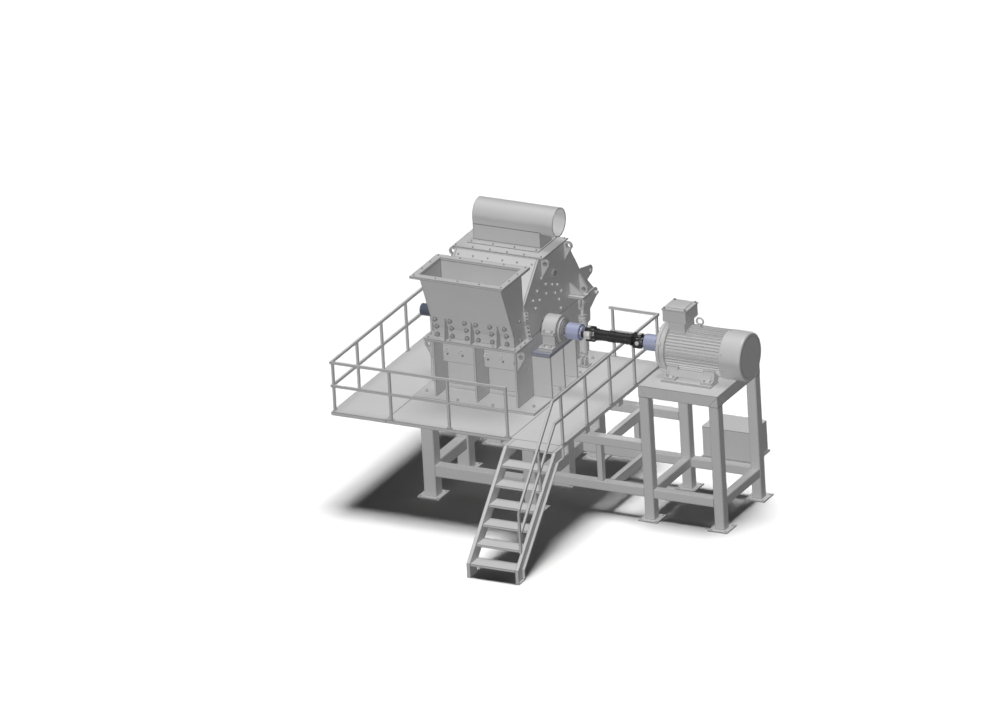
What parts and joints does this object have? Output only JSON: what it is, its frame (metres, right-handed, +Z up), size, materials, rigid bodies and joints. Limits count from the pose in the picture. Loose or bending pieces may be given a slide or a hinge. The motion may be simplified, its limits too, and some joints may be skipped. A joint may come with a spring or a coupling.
{
  "type": "horizontal-shaft crusher on a platform",
  "caption": "Hammer crusher with feed hopper and hinged hood on a railed steel platform, driven by a motor on its own stand through a cardan shaft.",
  "frame": {"origin": "bottom centre of the bounding box, on the floor", "axes": "+X along the rotor shaft towards the motor, +Y to the rear, +Z up"},
  "size_m": [6.795, 6.5, 4.7798],
  "materials": {
    "frame_paint": "smooth grey enamel on rolled sections",
    "deck_paint": "grey enamel on floor plate",
    "rail_paint": "grey enamel on square tube",
    "mill_paint": "grey enamel on welded plate",
    "hopper_paint": "grey enamel on sheet",
    "motor_paint": "grey enamel on ribbed casting",
    "bearing_paint": "grey enamel on casting",
    "sole_blue": "blue grey enamel",
    "unit_paint": "grey enamel on sheet",
    "hub_steel": "turned steel, blue grey",
    "cardan_black": "black enamel",
    "cross_steel": "ground steel",
    "rotor_steel": "bare worn steel",
    "rod_steel": "hard chrome"
  },
  "bodies": {
    "frame": {"base_plate": "mill_paint", "bearing_blocks": "bearing_paint", "cylinder_bases": "mill_paint", "deck_centre_panel": "deck_paint", "deck_cross_beams": "frame_paint", "deck_long_beams": "frame_paint", "deck_side_panels": "deck_paint", "foot_plates": "frame_paint", "frame_rails": "frame_paint", "hopper_base_flange": "hopper_paint", "hopper_body": "hopper_paint", "hopper_fins": "hopper_paint", "hopper_mouth_flange": "hopper_paint", "hydraulic_unit": "unit_paint", "lower_front": "mill_paint", "lower_lifting_lugs": "mill_paint", "lower_rear": "mill_paint", "lower_side_left": "mill_paint", "lower_side_right": "mill_paint", "motor_body": "motor_paint", "motor_end_shield": "motor_paint", "motor_fan_cover": "motor_paint", "motor_slide_rails": "motor_paint", "pedestal_plates": "mill_paint", "railing_front": "rail_paint", "railing_left": "rail_paint", "railing_rear": "rail_paint", "railing_right": "rail_paint", "sole_plates": "sole_blue", "stair_handrail": "rail_paint", "stair_stringers": "frame_paint", "stair_treads": "frame_paint", "stand_lower_rails": "frame_paint", "stand_top": "frame_paint", "support_legs": "frame_paint", "terminal_box": "motor_paint", "tie_braces": "frame_paint", "tie_rails": "frame_paint"},
    "rotor": {"rotor_shaft": "rotor_steel", "rotor_discs": "rotor_steel", "hammer_rows": "rotor_steel", "coupling_hubs": "hub_steel", "flange_yokes": "cardan_black", "cardan_shaft": "cardan_black", "joint_crosses": "cross_steel"},
    "hood": {"hood_side_left": "mill_paint", "hood_side_right": "mill_paint", "hood_front_slope": "mill_paint", "hood_rear": "mill_paint", "hood_top": "mill_paint", "hood_hinge_arms": "mill_paint", "hood_lifting_lugs": "mill_paint", "hood_brackets": "mill_paint", "duct_box": "mill_paint", "exhaust_pipe": "mill_paint"},
    "barrel_left": {"cylinder_barrel_left": "mill_paint"},
    "barrel_right": {"cylinder_barrel_right": "mill_paint"},
    "rod_left": {"cylinder_rod_left": "rod_steel"},
    "rod_right": {"cylinder_rod_right": "rod_steel"}
  },
  "joints": [
    {"name": "rotor_spin", "type": "hinge", "parent": "frame", "child": "rotor", "pos_m": [-1.2325, 0.75, 2.852], "axis": [1, 0, 0], "continuous": true},
    {"name": "hood_hinge", "type": "hinge", "parent": "frame", "child": "hood", "pos_m": [-1.2325, 2.674, 2.712], "axis": [-1, 0, 0], "range_deg": [0, 35]},
    {"name": "cylinder_tilt_left", "type": "hinge", "parent": "frame", "child": "barrel_left", "pos_m": [-2.2325, 1.72, 1.9], "axis": [-1, 0, 0], "range_deg": [0, 9.4]},
    {"name": "cylinder_stroke_left", "type": "slide", "parent": "barrel_left", "child": "rod_left", "axis": [0, 0.0441, 0.999], "range_m": [0, 0.53]},
    {"name": "cylinder_tilt_right", "type": "hinge", "parent": "frame", "child": "barrel_right", "pos_m": [-0.2325, 1.72, 1.9], "axis": [-1, 0, 0], "range_deg": [0, 9.4]},
    {"name": "cylinder_stroke_right", "type": "slide", "parent": "barrel_right", "child": "rod_right", "axis": [0, 0.0441, 0.999], "range_m": [0, 0.53]}
  ],
  "couplings": [
    {"joint": "cylinder_tilt_left", "follows": "hood_hinge", "ratio": 0.2675},
    {"joint": "cylinder_stroke_left", "follows": "hood_hinge", "m_per_rad": 0.865},
    {"joint": "cylinder_tilt_right", "follows": "hood_hinge", "ratio": 0.2675},
    {"joint": "cylinder_stroke_right", "follows": "hood_hinge", "m_per_rad": 0.865}
  ]
}
